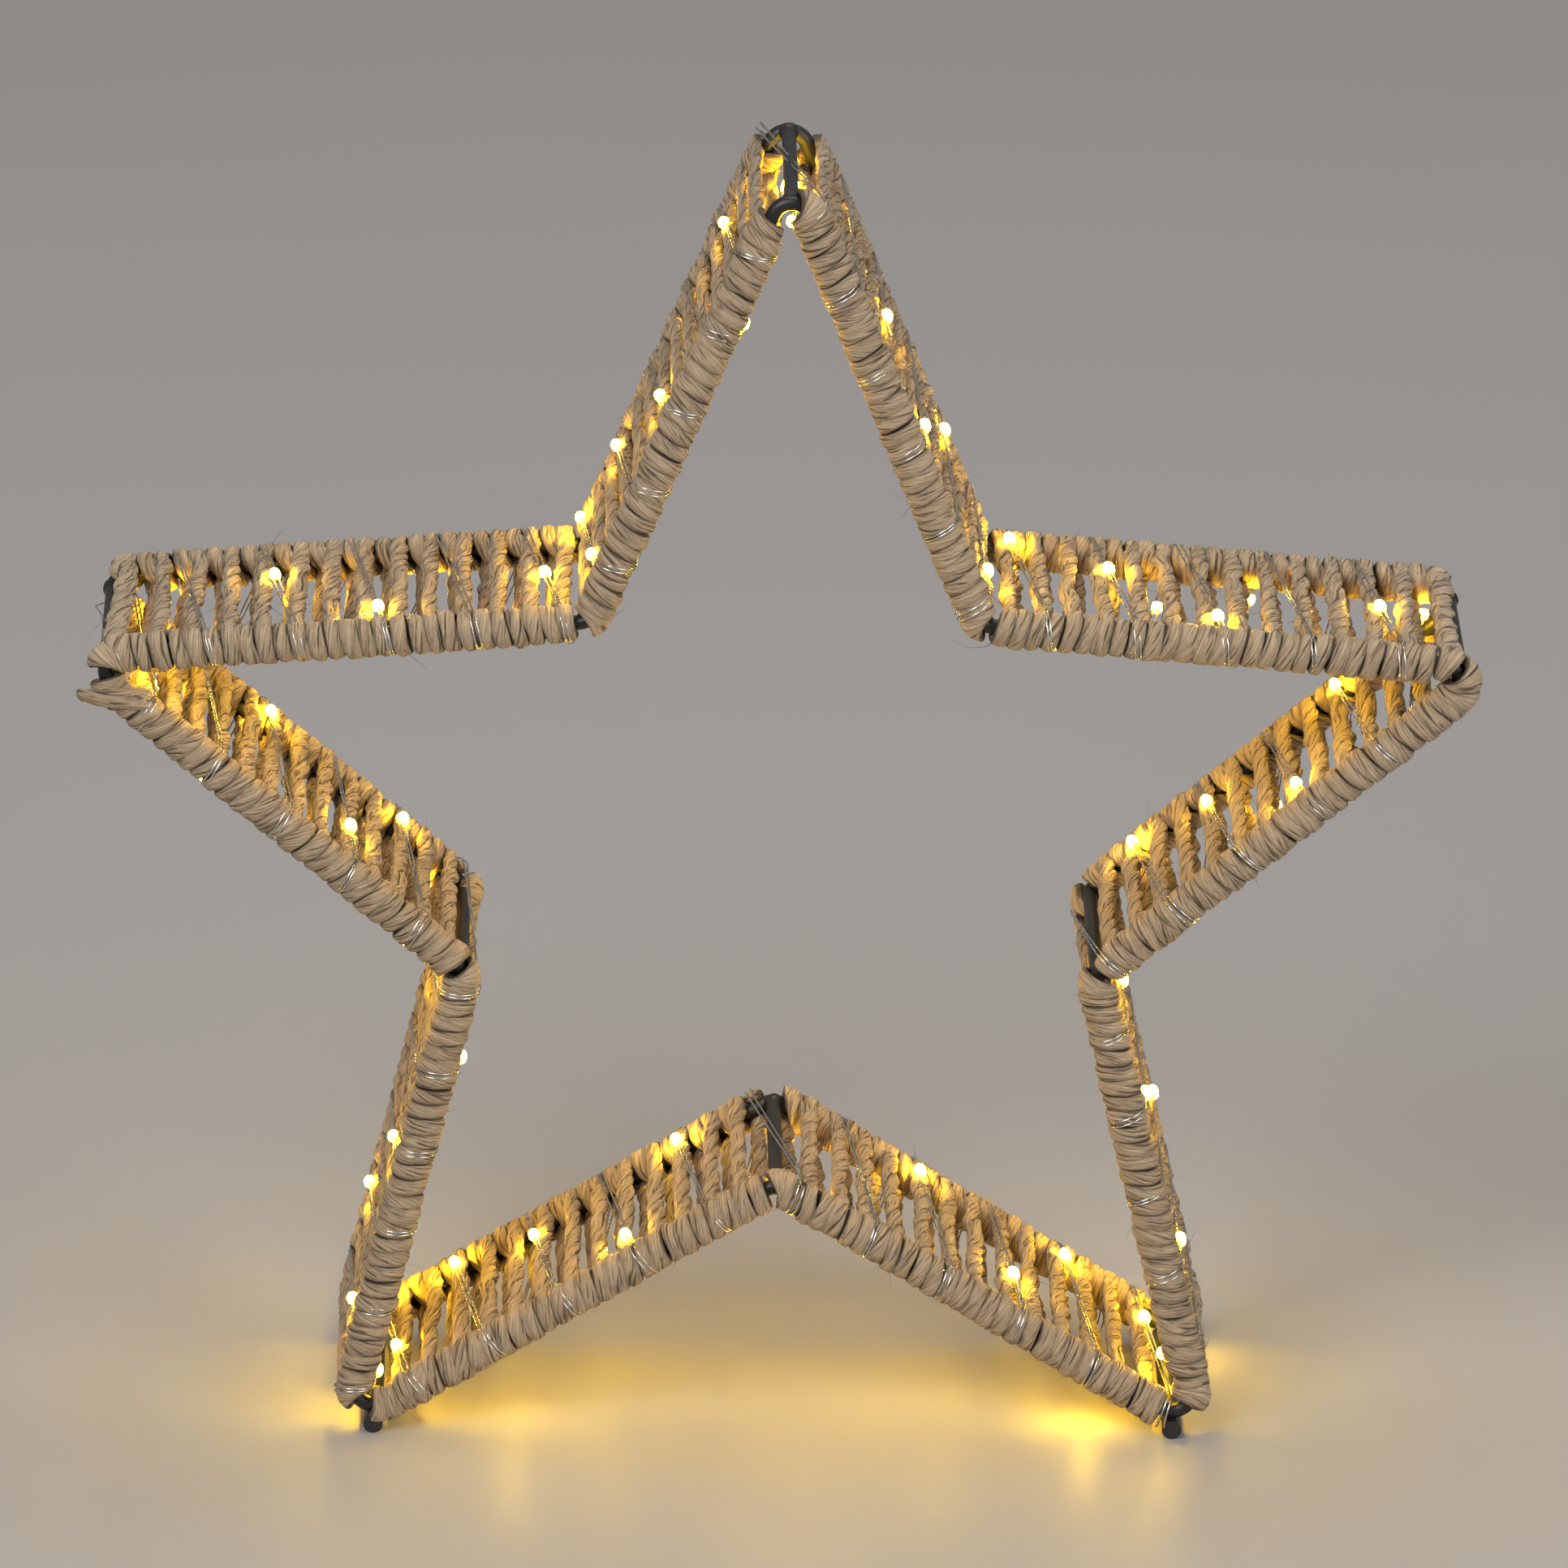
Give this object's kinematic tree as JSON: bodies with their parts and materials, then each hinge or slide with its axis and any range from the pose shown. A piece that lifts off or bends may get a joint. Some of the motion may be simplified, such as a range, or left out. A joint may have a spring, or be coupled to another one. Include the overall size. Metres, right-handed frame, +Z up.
{
  "type": "star light decoration",
  "caption": "Free-standing star light decoration: front and back stars of black bent wire joined by cross bars, the edges wound with paper twine and a string of warm drop lights.",
  "frame": {"origin": "middle of the star's width and depth, on the surface that the two foot bars stand on", "axes": "+X to the right across the star, seen from the front; +Y from the front star to the back star; +Z up"},
  "size_m": [0.3765, 0.0752, 0.3636],
  "materials": {
    "black_wire": "satin black paint on steel wire",
    "paper_twine": "matt natural paper cord",
    "silver_wire": "bright lacquered wire",
    "black_sleeve": "shrunk sleeve",
    "lit_resin": "clear resin, lit from inside",
    "light_chip": "lit chip"
  },
  "bodies": {
    "root": {"front_star_wire": "black_wire", "back_star_wire": "black_wire", "cross_bar_1": "black_wire", "cross_bar_2": "black_wire", "cross_bar_3": "black_wire", "cross_bar_4": "black_wire", "cross_bar_5": "black_wire", "cross_bar_6": "black_wire", "cross_bar_7": "black_wire", "cross_bar_8": "black_wire", "foot_bar_right": "black_wire", "foot_bar_left": "black_wire", "twine_1": "paper_twine", "twine_2": "paper_twine", "twine_3": "paper_twine", "twine_4": "paper_twine", "twine_5": "paper_twine", "twine_6": "paper_twine", "twine_7": "paper_twine", "twine_8": "paper_twine", "twine_9": "paper_twine", "twine_10": "paper_twine", "light_wire_1": "silver_wire", "light_wire_2": "silver_wire", "feed_sleeve": "black_sleeve", "light_drops_1": "lit_resin", "light_drops_2": "lit_resin", "light_drops_3": "lit_resin", "light_drops_4": "lit_resin", "light_drops_5": "lit_resin", "light_drops_6": "lit_resin", "light_drops_7": "lit_resin", "light_drops_8": "lit_resin", "light_drops_9": "lit_resin", "light_drops_10": "lit_resin", "light_chips_1": "light_chip", "light_chips_2": "light_chip", "light_chips_3": "light_chip", "light_chips_4": "light_chip", "light_chips_5": "light_chip", "light_chips_6": "light_chip", "light_chips_7": "light_chip", "light_chips_8": "light_chip", "light_chips_9": "light_chip", "light_chips_10": "light_chip"}
  },
  "joints": []
}
